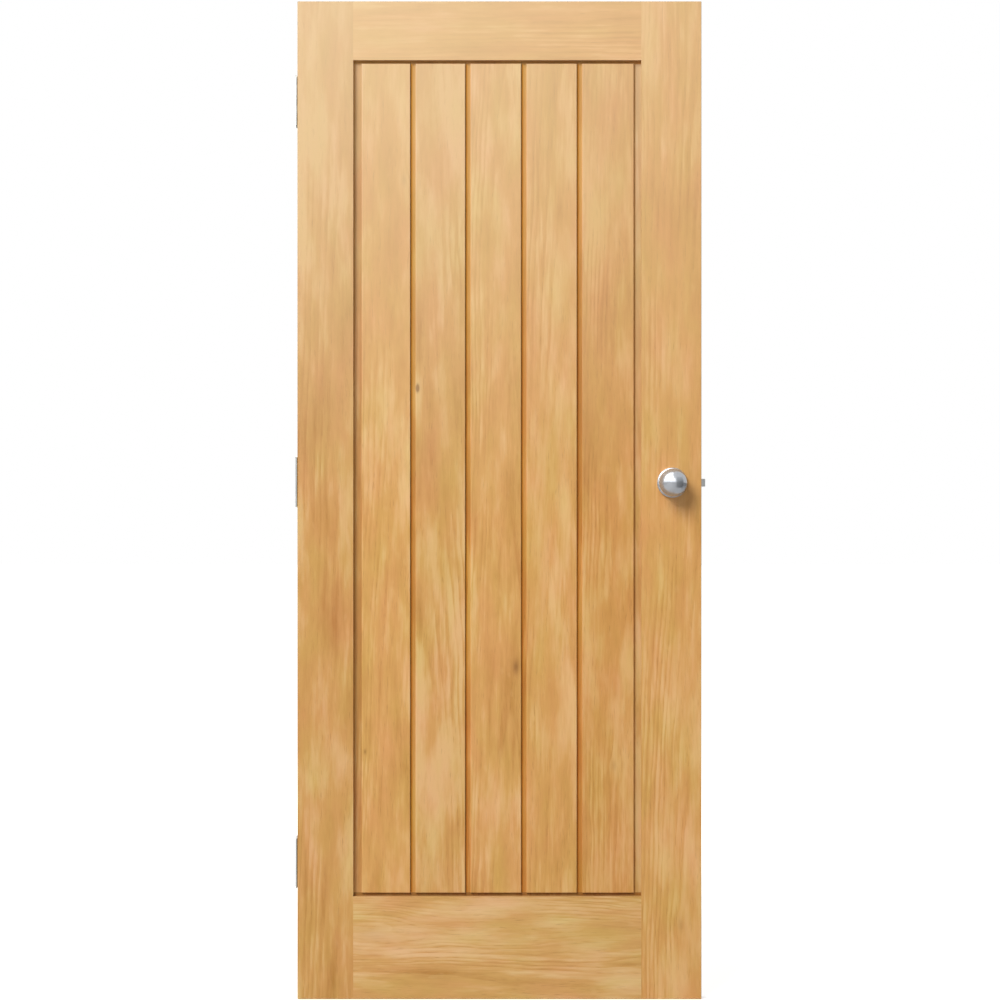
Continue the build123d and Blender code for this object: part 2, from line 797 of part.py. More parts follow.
# Bolts from the back rose plate into the front plate's posts
with BuildPart() as rose_bolts:
    bolt_seat = back_face + rose_plate_thickness
    with Locations(*[facing_y(spindle_x, bolt_seat, z) for z in rose_bolt_heights]):
        Cylinder(
            rose_bolt_radius, rose_bolt_length, align=(Align.CENTER, Align.CENTER, Align.MAX)
        )
        Cylinder(
            rose_bolt_head_radius,
            rose_bolt_head_height,
            align=(Align.CENTER, Align.CENTER, Align.MIN),
        )
rose_bolts.part.label = "rose_bolts"
export_step(rose_bolts.part, "parts/rose_bolts.step")

# Grub screws from under the knobs' necks onto the spindle
with BuildPart() as grub_screws:
    below_spindle = [
        (spindle_x, side * (back_face + grub_place), spindle_height - spindle_side / 2)
        for side in (-1, 1)
    ]
    with Locations(*below_spindle):
        Cylinder(
            grub_radius,
            neck_radius - spindle_side / 2 - slip_fit,
            align=(Align.CENTER, Align.CENTER, Align.MAX),
        )
grub_screws.part.label = "grub_screws"
export_step(grub_screws.part, "parts/grub_screws.step")
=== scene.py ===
import random
from math import atan2, cos, pi, radians, sin, sqrt

import bmesh
import bpy
from mathutils import Matrix, Vector


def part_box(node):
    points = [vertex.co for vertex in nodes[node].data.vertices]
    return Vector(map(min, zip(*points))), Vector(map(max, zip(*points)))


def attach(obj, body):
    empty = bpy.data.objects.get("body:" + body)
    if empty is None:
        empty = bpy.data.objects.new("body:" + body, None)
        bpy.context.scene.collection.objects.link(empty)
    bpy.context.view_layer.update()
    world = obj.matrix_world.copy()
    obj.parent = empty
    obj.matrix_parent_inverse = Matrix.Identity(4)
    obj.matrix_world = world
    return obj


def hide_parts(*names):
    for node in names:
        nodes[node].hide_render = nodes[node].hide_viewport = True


# Looks of the boarded oak door, in metres in the frame's axes: X to the lock side, Y to the back
# face, Z up. The CAD nodes keep their shapes and get materials. The knobs, their roses and the
# screws are made again here with finer shapes.

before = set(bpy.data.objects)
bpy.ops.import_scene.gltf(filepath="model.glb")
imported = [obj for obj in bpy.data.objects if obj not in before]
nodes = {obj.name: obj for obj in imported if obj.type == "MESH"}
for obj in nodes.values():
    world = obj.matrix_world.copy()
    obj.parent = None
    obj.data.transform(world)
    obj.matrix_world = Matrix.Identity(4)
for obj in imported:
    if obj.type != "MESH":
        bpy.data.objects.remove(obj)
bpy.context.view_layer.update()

# Places read from the frame: the leaf, and the opening in it for the boards
leaf_low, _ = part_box("hinge_stile")
_, leaf_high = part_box("lock_stile")
leaf_height = leaf_high.z - leaf_low.z
front_y, back_y = leaf_low.y, leaf_high.y
opening_left, opening_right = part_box("hinge_stile")[1].x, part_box("lock_stile")[0].x
opening_low, opening_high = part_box("bottom_rail")[1].z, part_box("top_rail")[0].z

# The boards' sizes as the part's source gives them
left_margin, right_margin, end_margin = 0.017, 0.015, 0.0065
channel_width, tongue_length, board_gap = 0.011, 0.008, 0.0006

# The photograph: its size in pixels, and where the leaf's edges are in it
photo_size = 1000
leaf_top_px, leaf_bottom_px = 1.3, 999.2
leaf_left_px, leaf_right_px = 297.06, 701.85
metres_per_px = leaf_height / (leaf_bottom_px - leaf_top_px)


def photo_place(px, py):
    """X and Z of a pixel of the photograph, on the leaf's front."""
    middle_px = (leaf_left_px + leaf_right_px) / 2
    return (px - middle_px) * metres_per_px, (leaf_bottom_px - py) * metres_per_px


# Shader nodes


class Tree:
    """Adds nodes to a material's or world's tree, and links what they are given."""

    def __init__(self, owner):
        owner.use_nodes = True
        self.tree = owner.node_tree
        self.tree.nodes.clear()

    def node(self, kind, inputs=(), **settings):
        made = self.tree.nodes.new(kind)
        for key, value in settings.items():
            setattr(made, key, value)
        for key, value in dict(inputs).items():
            self.put(value, made.inputs[key])
        return made

    def put(self, value, socket):
        if isinstance(value, bpy.types.NodeSocket):
            self.tree.links.new(value, socket)
        else:
            socket.default_value = value

    def math(self, operation, *values, clamp=False):
        made = self.node("ShaderNodeMath", operation=operation, use_clamp=clamp)
        for value, socket in zip(values, made.inputs):
            self.put(value, socket)
        return made.outputs[0]

    def add(self, *values):
        total = values[0]
        for value in values[1:]:
            total = self.math("ADD", total, value)
        return total

    def minus(self, a, b, clamp=False):
        return self.math("SUBTRACT", a, b, clamp=clamp)

    def times(self, a, b, clamp=False):
        return self.math("MULTIPLY", a, b, clamp=clamp)

    def combine(self, x, y, z):
        return self.node("ShaderNodeCombineXYZ", {"X": x, "Y": y, "Z": z}).outputs[0]

    def noise(self, vector, detail=2.0, roughness=0.5):
        return self.node(
            "ShaderNodeTexNoise",
            {"Vector": vector, "Scale": 1.0, "Detail": detail, "Roughness": roughness},
        ).outputs["Fac"]

    def spread(self, value, low, high, to_low=0.0, to_high=1.0, smooth=False):
        return self.node(
            "ShaderNodeMapRange",
            {
                "Value": value,
                "From Min": low,
                "From Max": high,
                "To Min": to_low,
                "To Max": to_high,
            },
            interpolation_type="SMOOTHSTEP" if smooth else "LINEAR",
        ).outputs[0]

    def mix(self, factor, a, b, blend="MIX"):
        made = self.node("ShaderNodeMix", data_type="RGBA", blend_type=blend)
        self.put(factor, made.inputs["Factor"])
        self.put(a, made.inputs["A"])
        self.put(b, made.inputs["B"])
        return made.outputs["Result"]

    def tinted(self, colour, tint):
        return self.mix(1.0, colour, tint, "MULTIPLY")

    def place(self):
        """The place on the object, in its own axes."""
        return self.node("ShaderNodeTexCoord").outputs["Object"]

    def place_xyz(self):
        return self.node("ShaderNodeSeparateXYZ", {"Vector": self.place()}).outputs

    def surface(self, shader, output="ShaderNodeOutputMaterial"):
        self.node(output, {"Surface": shader.outputs[0]})


def new_material(name):
    material = bpy.data.materials.new(name)
    return material, Tree(material)


def rgb(r, g, b):
    return (r, g, b, 1.0)


# Most of a noise's values lie in this range
noise_range = (0.3, 0.7)


# Oak

oak_light = rgb(0.76, 0.47, 0.19)
oak_middle = rgb(0.665, 0.355, 0.105)
oak_dark = rgb(0.50, 0.225, 0.048)
oak_pore = rgb(0.26, 0.11, 0.025)
painted_sheen_colour = rgb(0.75, 0.57, 0.35)
yellow_tint = rgb(0.965, 1.03, 0.92)
pink_tint = rgb(1.04, 0.965, 1.09)
warmth_steps = (0.03, -0.03, -0.12)

# How closely each pattern lies across and along the grain
bend_scale, ripple_scale = (5, 1.1), (26, 7)
cloud_scale, broad_scale, hue_scale = (30, 7), (9, 2.1), (20, 6)
busy_scale, fleck_scale = (13, 3.5), (60, 24)
fibre_scale, streak_scale, pore_scale = (420, 26), (150, 11), (900, 42)
rings_per_metre = 150
unevenness_per_metre, unevenness_in_rings = 60, 2.2

# How far a piece's seed moves its patterns across, behind and along the grain
seed_steps = (1.0, 1.7, 2.3)

# How far the grain strays sideways
bend_reach, ripple_reach = 0.05, 0.010

# Where in each noise its pattern starts and is full
busy_range, pore_range, fleck_range = (0.38, 0.66), (0.60, 0.72), (0.66, 0.78)
patch_range = (0.25, 0.75)

# Where in a ring the early wood is darkest and where it ends
early_peak, early_end = 0.14, 0.70

# How much each pattern darkens the wood, and how dark it is between them
ring_weight, streak_weight, cloud_weight, broad_weight = 0.44, 0.34, 0.46, 0.42
fibre_weights = (-0.07, 0.08)
middle_depth = 0.39
dark_share, fleck_share, pore_share, darkest_spot = 0.9, 0.16, 0.30, 0.85

# What is left of the rings and streaks in calm areas, and of the pores in late wood
calm_share, late_wood_pores = 0.15, 0.25

# Knots: length over width, the swirl of the grain round them, and how fast it and the core fade
knot_length, swirl, swirl_fade, core_fade = 2.2, 0.9, -0.35, -3.0

# Painted sheen makes the top of the leaf paler: from what height, by how much, and the part of
# it at the lock side
sheen_from, sheen_share, sheen_lock_side = 0.48, 0.60, 0.62

oak_roughness = (0.42, 0.56)
oak_specular = 0.32
fibre_relief, pore_relief, ring_relief = 0.5, 0.8, 0.25
relief_strength, relief_depth = 0.3, 0.0003

# Painted shade on the floors beside the boards' raised faces: painted shadows beside the steps
# and at the boards' ends, darker recesses, and a cooler tint on the right margin's floor
joint_painted_shadow = rgb(0.82, 0.54, 0.08)
channel_painted_shade = rgb(0.80, 0.68, 0.38)
channel_edge_painted_shade = rgb(0.93, 0.86, 0.66)
corner_painted_shadow = rgb(0.95, 0.82, 0.52)
margin_painted_shade = rgb(0.78, 0.72, 0.64)
right_corner_painted_shadow = rgb(0.80, 0.74, 0.58)
right_margin_tint = rgb(0.88, 1.0, 1.15)
head_painted_shadow = rgb(0.72, 0.57, 0.32)
foot_painted_shadow = rgb(0.45, 0.36, 0.20)
shade_below_face_start, shade_below_face_full = 0.0012, 0.0030
end_shadow_blend = 0.001

# The boards' left edges get a painted highlight, paler than the rest of the face
painted_edge_highlight = rgb(1.09, 1.12, 1.25)
edge_highlight_width = 0.003


def board_painted_light(t, x, y, z, face, face_left, floor_shade_stops):
    """Painted shade on the floors below a board's face, and a painted highlight at its left edge.
    """
    below = t.spread(
        t.math("ABSOLUTE", y),
        face - shade_below_face_full,
        face - shade_below_face_start,
        1.0,
        0.0,
        smooth=True,
    )
    first_x, last_x = floor_shade_stops[0][0], floor_shade_stops[-1][0]
    ramp = t.node("ShaderNodeValToRGB", {"Fac": t.spread(x, first_x, last_x)})
    stops = ramp.color_ramp.elements
    for _ in floor_shade_stops[2:]:
        stops.new(0.5)
    for stop, (tint_x, tint) in zip(stops, floor_shade_stops):
        stop.position = (tint_x - first_x) / (last_x - first_x)
        stop.color = tint
    # Painted shadows on the floors at the boards' heads and feet
    from_middle = t.math("ABSOLUTE", t.minus(z, (opening_low + opening_high) / 2))
    field_reach = (opening_high - opening_low) / 2 - end_margin
    at_end = t.spread(from_middle, field_reach - end_shadow_blend, field_reach)
    end_shadow = t.mix(t.math("GREATER_THAN", z, leaf_height / 2), foot_painted_shadow, head_painted_shadow)
    shaded_floor = t.mix(at_end, ramp.outputs["Color"], end_shadow)
    # A painted highlight along the face's left edge
    from_edge = t.spread(x, face_left, face_left + edge_highlight_width)
    left_edge_highlight = t.mix(from_edge, painted_edge_highlight, rgb(1, 1, 1))
    return t.mix(below, left_edge_highlight, shaded_floor)


def oak(
    name,
    along,
    pith,
    seed,
    tone=1.0,
    warmth=0.0,
    taper=0.02,
    wave=1.0,
    figure=1.15,
    knots=(),
    face=None,
    face_left=0.0,
    floor_shade_stops=(),
):
    """Oak whose grain runs along X or Z.

    pith is where the tree's middle was, across and behind the piece. taper is how fast the rings
    widen along the grain, wave how strongly the grain strays, and figure how strong the patches
    of tone are. A knot is across, along, its radius and how dark it is. For a board, face is how
    far its face is from the leaf's middle plane, face_left is where the face's left edge with its
    painted highlight is, and floor_shade_stops are places along X on the floors beside the face,
    with the painted shade at each.
    """
    material, t = new_material(name)
    x, y, z = t.place_xyz()
    across, length = (z, x) if along == "X" else (x, z)
    point = t.combine(across, y, length)

    def stretched(scale, move=0.0):
        """The place scaled across and along the grain, and moved so that pieces differ."""
        wide, long = scale
        start = seed + move
        return t.node(
            "ShaderNodeMapping",
            {
                "Vector": point,
                "Scale": (wide, wide, long),
                "Location": [start * step for step in seed_steps],
            },
        ).outputs[0]

    def patches(noise, weight):
        """A noise as patches that are up to this much lighter or darker."""
        return t.spread(noise, *patch_range, -weight, weight)

    # The trunk's bends, and the swirl round each knot
    bend = t.times(t.minus(t.noise(stretched(bend_scale)), 0.5), bend_reach * wave)
    ripple = t.times(t.minus(t.noise(stretched(ripple_scale)), 0.5), ripple_reach * wave)
    shift = t.add(bend, ripple)
    dark_spots = 0.0
    for knot_across, knot_along, radius, darkness in knots:
        du = t.math("DIVIDE", t.minus(across, knot_across), radius)
        dv = t.math("DIVIDE", t.minus(length, knot_along), radius * knot_length)
        far = t.add(t.times(du, du), t.times(dv, dv))
        swell = t.math("EXPONENT", t.times(far, swirl_fade))
        shift = t.add(shift, t.times(t.times(du, swell), -radius * swirl))
        core = t.times(t.math("EXPONENT", t.times(far, core_fade)), darkness)
        dark_spots = t.add(dark_spots, core)

    # Growth rings about the pith
    pith_across, pith_behind = pith
    u = t.minus(t.add(across, shift), pith_across)
    v = t.minus(y, pith_behind)
    radius = t.math("SQRT", t.add(t.times(u, u), t.times(v, v)))
    radius = t.add(radius, t.times(length, taper))
    uneven = t.noise(t.combine(t.times(radius, unevenness_per_metre), 0.0, seed), 1.0)
    ring_count = t.add(t.times(radius, rings_per_metre), t.times(uneven, unevenness_in_rings))
    ring = t.math("FRACT", ring_count)
    early = t.times(
        t.spread(ring, 0.0, early_peak, smooth=True),
        t.spread(ring, early_peak, early_end, 1.0, 0.0, smooth=True),
    )

    # Fibres, pores and clouds of tone. Some areas are busier than others.
    busy_noise = t.noise(stretched(busy_scale, 5.0), 1.0)
    busy = t.spread(busy_noise, *busy_range, calm_share, 1.0, smooth=True)
    fibre = t.noise(stretched(fibre_scale), 3.0, 0.6)
    streak = t.noise(stretched(streak_scale), 2.0, 0.6)
    cloud = t.noise(stretched(cloud_scale, 1.0), 3.0, 0.55)
    broad = t.noise(stretched(broad_scale, 2.0), 2.0, 0.5)
    hue = t.noise(stretched(hue_scale, 3.0), 2.0, 0.55)
    pore = t.spread(t.noise(stretched(pore_scale), 1.0), *pore_range, smooth=True)
    pore = t.times(pore, t.spread(early, 0.0, 1.0, late_wood_pores, 1.0))
    fleck = t.spread(t.noise(stretched(fleck_scale), 1.0), *fleck_range, smooth=True)

    # Depth is 0 for light wood, 0.5 for middling and more for dark
    depth = t.add(
        t.times(t.times(early, busy), ring_weight),
        t.times(patches(streak, streak_weight), busy),
        patches(cloud, cloud_weight * figure),
        patches(broad, broad_weight * figure),
        t.spread(fibre, *noise_range, *fibre_weights),
        middle_depth,
    )
    light_side = t.mix(t.times(depth, 2.0, clamp=True), oak_light, oak_middle)
    dark_side = t.times(t.minus(depth, 0.5, clamp=True), dark_share)
    colour = t.mix(dark_side, light_side, oak_dark)
    colour = t.mix(t.times(fleck, fleck_share), colour, oak_light)
    colour = t.mix(t.times(pore, pore_share), colour, oak_pore)
    colour = t.mix(t.math("MINIMUM", dark_spots, darkest_spot), colour, oak_pore)
    colour = t.tinted(colour, t.mix(t.spread(hue, *noise_range), yellow_tint, pink_tint))
    colour = t.tinted(colour, rgb(*[tone * (1.0 + step * warmth) for step in warmth_steps]))

    # Painted sheen: the wood is paler towards the top of the leaf, and more so on the hinge side
    painted_sheen = t.times(
        t.spread(z, sheen_from * leaf_height, leaf_height, 0.0, sheen_share),
        t.spread(x, leaf_low.x / 2, leaf_high.x, 1.0, sheen_lock_side),
    )
    colour = t.mix(painted_sheen, colour, painted_sheen_colour)
    # Painted shade on a board's floors, and a painted highlight at its face's left edge
    if face:
        colour = t.tinted(colour, board_painted_light(t, x, y, z, face, face_left, floor_shade_stops))

    height = t.minus(t.times(fibre, fibre_relief), t.times(pore, pore_relief))
    height = t.minus(height, t.times(early, ring_relief))
    bump = t.node(
        "ShaderNodeBump",
        {"Strength": relief_strength, "Distance": relief_depth, "Height": height},
    )
    shader = t.node(
        "ShaderNodeBsdfPrincipled",
        {
            "Base Color": colour,
            "Roughness": t.spread(fibre, *noise_range, *oak_roughness),
            "Normal": bump.outputs[0],
            "Specular IOR Level": oak_specular,
        },
    )
    t.surface(shader)
    return material


def dress(node, material):
    """Gives a CAD node its one material."""
    mesh = nodes[node].data
    mesh.materials.clear()
    mesh.materials.append(material)


def knot(px, py, radius, darkness, along="Z"):
    """A knot at a pixel of the photograph, in a piece whose grain runs along X or Z."""
    x, z = photo_place(px, py)
    return (z, x, radius, darkness) if along == "X" else (x, z, radius, darkness)


stile_and_rail_looks = {
    "hinge_stile": {"along": "Z", "pith": (-0.30, 0.12), "seed": 1.3, "tone": 0.89, "taper": 0.012},
    "lock_stile": {
        "along": "Z",
        "pith": (0.42, 0.09),
        "seed": 33.7,
        "tone": 0.965,
        "warmth": 0.2,
        "taper": 0.018,
        "figure": 0.85,
        "knots": [knot(681, 925, 0.010, 0.25)],
    },
    "top_rail": {"along": "X", "pith": (2.06, 0.10), "seed": 4.1, "taper": 0.015, "wave": 1.2},
    "bottom_rail": {
        "along": "X",
        "pith": (0.02, 0.05),
        "seed": 5.7,
        "tone": 0.98,
        "warmth": -1.1,
        "wave": 2.0,
        "figure": 0.9,
        "knots": [knot(372, 935, 0.026, 0.12, along="X")],
    },
}
for node, look in stile_and_rail_looks.items():
    dress(node, oak(f"oak_{node}", **look))
dress("frame_dowels", oak("dowel_wood", "X", (0.5, 0.4), seed=40.0, tone=0.92, warmth=-1.0))

board_looks = [
    {
        "pith": (-0.20, 0.07),
        "tone": 0.97,
        "knots": [knot(404, 180, 0.009, 0.25), knot(365, 752, 0.004, 0.6)],
    },
    {"pith": (-0.16, 0.10), "tone": 0.92, "knots": [knot(417.5, 388, 0.0055, 1.9)]},
    {"pith": (0.02, 0.06), "tone": 0.965, "knots": [knot(516, 667, 0.011, 0.75)]},
    {"pith": (0.14, 0.12), "tone": 0.95, "warmth": 0.3, "figure": 0.8},
    {"pith": (0.26, 0.05), "tone": 0.875, "warmth": 1.2, "knots": [knot(614, 766, 0.009, 0.2)]},
]
board_seed, board_seed_step = 7.0, 3.1

# Where the floors' painted shade changes. The strip beside a step gets a painted shadow. How
# gradually that shadow ends and where the right corner's painted shadow ends are in widths of that
# strip, and where a channel's paler edge starts is in widths of the channel.
shaded_width, shade_blend, right_corner_end = 0.0045, 0.2, 0.6
channel_edge_start = 0.7

# Each board's oak, with painted shade on the floors beside its face
for number, look in enumerate(board_looks, start=1):
    board_low, board_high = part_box(f"board_{number}")
    if number == 1:
        face_left = opening_left + left_margin
        shade_stops = [
            (opening_left, corner_painted_shadow),
            (opening_left + shaded_width, margin_painted_shade),
            (face_left, margin_painted_shade),
        ]
    else:
        joint = board_low.x + tongue_length - board_gap
        face_left = joint + channel_width
        shade_stops = [
            (joint, joint_painted_shadow),
            (joint + (1 - shade_blend) * shaded_width, joint_painted_shadow),
            (joint + (1 + shade_blend) * shaded_width, channel_painted_shade),
            (joint + channel_edge_start * channel_width, channel_painted_shade),
            (face_left, channel_edge_painted_shade),
        ]
    if number == len(board_looks):
        face_right = opening_right - right_margin
        shade_stops += [
            (face_right, right_corner_painted_shadow),
            (face_right + right_corner_end * shaded_width, right_corner_painted_shadow),
            (face_right + shaded_width, right_margin_tint),
        ]
    material = oak(
        f"oak_board_{number}",
        "Z",
        seed=board_seed + board_seed_step * number,
        face=board_high.y,
        face_left=face_left,
        floor_shade_stops=shade_stops,
        **look,
    )
    dress(f"board_{number}", material)


# Metal

smudge_scale = 45.0
worn_shade = 0.93
line_roughness = 0.04
line_strength, line_depth = 0.08, 0.0001


def metal(name, colour, roughness, lines, uneven, metallic=1.0):
    """Worked metal.

    lines are how closely the work's fine lines lie along X, Y and Z. uneven is how much its
    roughness changes from place to place.
    """
    material, t = new_material(name)
    place = t.place()
    stretched = t.node("ShaderNodeMapping", {"Vector": place, "Scale": lines}).outputs[0]
    line = t.noise(stretched, 2.0, 0.6)
    smudge = t.node(
        "ShaderNodeTexNoise", {"Vector": place, "Scale": smudge_scale, "Detail": 3.0}
    ).outputs[0]
    worn_colour = rgb(*[worn_shade * c for c in colour])
    base = t.mix(t.spread(smudge, *noise_range), worn_colour, rgb(*colour))
    rough = t.add(
        t.spread(line, *noise_range, -line_roughness, line_roughness),
        t.spread(smudge, *noise_range, -uneven, uneven),
        roughness,
    )
    bump = t.node(
        "ShaderNodeBump", {"Strength": line_strength, "Distance": line_depth, "Height": line}
    )
    shader = t.node(
        "ShaderNodeBsdfPrincipled",
        {
            "Base Color": base,
            "Metallic": metallic,
            "Roughness": rough,
            "Normal": bump.outputs[0],
        },
    )
    t.surface(shader)
    return material


knob_metal = metal("satin_chrome", (0.48, 0.50, 0.53), 0.20, (60, 2600, 60), 0.02, 0.62)
rose_metal = metal("satin_chrome_rose", (0.44, 0.45, 0.47), 0.28, (60, 2600, 60), 0.03, 0.7)
plate_metal = metal("satin_steel", (0.60, 0.60, 0.58), 0.30, (900, 900, 12), 0.05)
screw_metal = metal("screw_steel", (0.52, 0.52, 0.50), 0.34, (300, 300, 300), 0.08)
case_metal = metal("zinc_plate", (0.56, 0.57, 0.58), 0.38, (120, 120, 120), 0.10)
hidden_metal = metal("mild_steel", (0.45, 0.45, 0.45), 0.42, (200, 200, 200), 0.10)
spring_metal = metal("spring_wire", (0.34, 0.34, 0.35), 0.35, (400, 400, 400), 0.06)
brass = metal("brass", (0.70, 0.50, 0.22), 0.30, (300, 300, 300), 0.08)

for side in ("front", "back"):
    dress(f"{side}_knob", knob_metal)
    dress(f"{side}_rose_cover", rose_metal)
    dress(f"{side}_knob_shank", hidden_metal)
    dress(f"{side}_rose_plate", hidden_metal)
for place in ("top", "middle", "bottom"):
    for piece in ("frame_leaf", "door_leaf", "pin"):
        dress(f"hinge_{place}_{piece}", plate_metal)
for node in ("latch_faceplate", "latch_bolt"):
    dress(node, plate_metal)
for node in ("latch_case", "latch_guide", "latch_forend"):
    dress(node, case_metal)
for node in ("latch_retractor", "latch_follower", "spindle"):
    dress(node, hidden_metal)
for node in ("hinge_screws", "faceplate_screws", "rose_bolts", "grub_screws"):
    dress(node, screw_metal)
dress("latch_spring", spring_metal)
dress("hinge_washers", brass)


# Meshes

sharp_angle = radians(35)
merge_distance = 1e-5


def make_piece(name, mesh, material):
    """A new object from a bmesh, smooth except at its sharp edges."""
    bmesh.ops.recalc_face_normals(mesh, faces=mesh.faces)
    data = bpy.data.meshes.new(name)
    mesh.to_mesh(data)
    mesh.free()
    data.polygons.foreach_set("use_smooth", [True] * len(data.polygons))
    data.set_sharp_from_angle(angle=sharp_angle)
    data.materials.append(material)
    piece = bpy.data.objects.new(name, data)
    bpy.context.scene.collection.objects.link(piece)
    return piece


def arc(centre, radius, start, end, count):
    """Points on an arc of a profile, from one angle to the other, both in radians."""
    angles = [start + (end - start) * i / (count - 1) for i in range(count)]
    return [(centre[0] + radius * cos(a), centre[1] + radius * sin(a)) for a in angles]


def turned(profile, steps):
    """A bmesh of a profile of radius and height, turned about Z.

    A profile that starts and ends on the axis is closed there, and any other one is a ring.
    """
    mesh = bmesh.new()
    turns = [2 * pi * i / steps for i in range(steps)]
    rings = []
    for radius, height in profile:
        if radius == 0:
            rings.append([mesh.verts.new((0, 0, height))])
        else:
            points = [(radius * cos(a), radius * sin(a), height) for a in turns]
            rings.append([mesh.verts.new(point) for point in points])
    pairs = list(zip(rings, rings[1:]))
    if len(rings[0]) > 1:
        pairs.append((rings[-1], rings[0]))
    for ring_a, ring_b in pairs:
        for i in range(steps):
            j = (i + 1) % steps
            corners = [
                ring_a[i % len(ring_a)],
                ring_a[j % len(ring_a)],
                ring_b[j % len(ring_b)],
                ring_b[i % len(ring_b)],
            ]
            mesh.faces.new(list(dict.fromkeys(corners)))
    return mesh


def cut(piece, cutter):
    """Takes the cutter's shape out of the piece."""
    modifier = piece.modifiers.new("cut", "BOOLEAN")
    modifier.operation = "DIFFERENCE"
    modifier.solver = "EXACT"
    modifier.object = cutter
    graph = bpy.context.evaluated_depsgraph_get()
    data = bpy.data.meshes.new_from_object(piece.evaluated_get(graph))
    piece.modifiers.clear()
    old = piece.data
    piece.data = data
    data.set_sharp_from_angle(angle=sharp_angle)
    bpy.data.meshes.remove(old)
    bpy.data.objects.remove(cutter)


def solids(node):
    """The lowest and highest corners of each separate solid of a CAD node."""
    mesh = bmesh.new()
    mesh.from_mesh(nodes[node].data)
    bmesh.ops.remove_doubles(mesh, verts=mesh.verts, dist=merge_distance)
    unreached = set(mesh.verts)
    found = []
    while unreached:
        reached = [unreached.pop()]
        for vertex in reached:
            for edge in vertex.link_edges:
                other = edge.other_vert(vertex)
                if other in unreached:
                    unreached.remove(other)
                    reached.append(other)
        columns = list(zip(*[vertex.co for vertex in reached]))
        found.append(([min(c) for c in columns], [max(c) for c in columns]))
    mesh.free()
    return sorted(found)


# Knobs and roses, turned about the spindle. Heights are out from the leaf's face.

neck_radius = 0.009
neck_fillet = 0.002
neck_start = 0.0008
knob_bore_radius = 0.0076
knob_bore_end = 0.0289
grub_bore_radius = 0.0021
grub_bore_length = 0.02
rose_height = 0.008
rose_wall = 0.0012
rose_edge_radius = 0.003
rose_hole_radius = 0.0093
turning_steps, bore_steps = 128, 24
ball_points, fillet_points, edge_points = 90, 8, 16

shiny_pieces = []
for name, face_y, out in (("front", front_y, -1), ("back", back_y, 1)):
    knob_low, knob_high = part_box(f"{name}_knob")
    spindle_x = (knob_low.x + knob_high.x) / 2
    spindle_z = (knob_low.z + knob_high.z) / 2
    ball_radius = (knob_high.x - knob_low.x) / 2
    knob_reach = max(abs(knob_low.y), abs(knob_high.y)) - back_y
    facing_out = Matrix.Rotation(-out * pi / 2, 4, "X")
    place = Matrix.Translation((spindle_x, face_y, spindle_z)) @ facing_out

    ball_centre = knob_reach - ball_radius
    fillet_across = neck_radius + neck_fillet
    fillet_out = ball_centre - sqrt((ball_radius + neck_fillet) ** 2 - fillet_across**2)
    meeting = atan2(fillet_out - ball_centre, fillet_across)
    ball = arc((0, ball_centre), ball_radius, pi / 2, meeting, ball_points)
    fillet = arc((fillet_across, fillet_out), neck_fillet, meeting + pi, pi, fillet_points)
    profile = [
        (0, knob_reach),
        *ball[1:],
        *fillet[1:],
        (neck_radius, neck_start),
        (knob_bore_radius, neck_start),
        (knob_bore_radius, knob_bore_end),
        (0, knob_bore_end),
    ]
    knob = make_piece(f"{name}_turned_knob", turned(profile, turning_steps), knob_metal)
    knob.data.transform(place)

    # The grub screw's hole, from below
    profile = [
        (0, 0),
        (grub_bore_radius, 0),
        (grub_bore_radius, grub_bore_length),
        (0, grub_bore_length),
    ]
    hole = make_piece("hole", turned(profile, bore_steps), knob_metal)
    grub_low, grub_high = next(
        (low, high) for low, high in solids("grub_screws") if (low[1] > 0) == (out > 0)
    )
    grub_y = (grub_low[1] + grub_high[1]) / 2
    hole.data.transform(Matrix.Translation((spindle_x, grub_y, spindle_z - grub_bore_length)))
    cut(knob, hole)
    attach(knob, "knob_set")
    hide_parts(f"{name}_knob")

    rose_low, rose_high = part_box(f"{name}_rose_cover")
    rose_radius = (rose_high.x - rose_low.x) / 2
    edge_centre = (rose_radius - rose_edge_radius, rose_height - rose_edge_radius)
    profile = [
        (rose_hole_radius, rose_height),
        *arc(edge_centre, rose_edge_radius, pi / 2, 0, edge_points),
        (rose_radius, 0),
        (rose_radius - rose_wall, 0),
        (rose_radius - rose_wall, rose_height - rose_wall),
        (rose_hole_radius, rose_height - rose_wall),
    ]
    rose = make_piece(f"{name}_turned_rose", turned(profile, turning_steps), rose_metal)
    rose.data.transform(place)
    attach(rose, "door_leaf")
    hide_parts(f"{name}_rose_cover")
    shiny_pieces += [knob, rose]


# Screws with a cross recess, where the CAD has plain ones

screw_turns = random.Random(11)
screw_steps = 32

# The chamfer round the head, and how far along a screw its point starts
screw_edge, screw_point_start = 0.0001, 0.8

# The recess's blades, in head radii: length and width at the top and the bottom, and their reach
blade_top, blade_bottom = (1.25, 0.30), (0.35, 0.20)
blade_above, blade_below = 0.2, 0.62


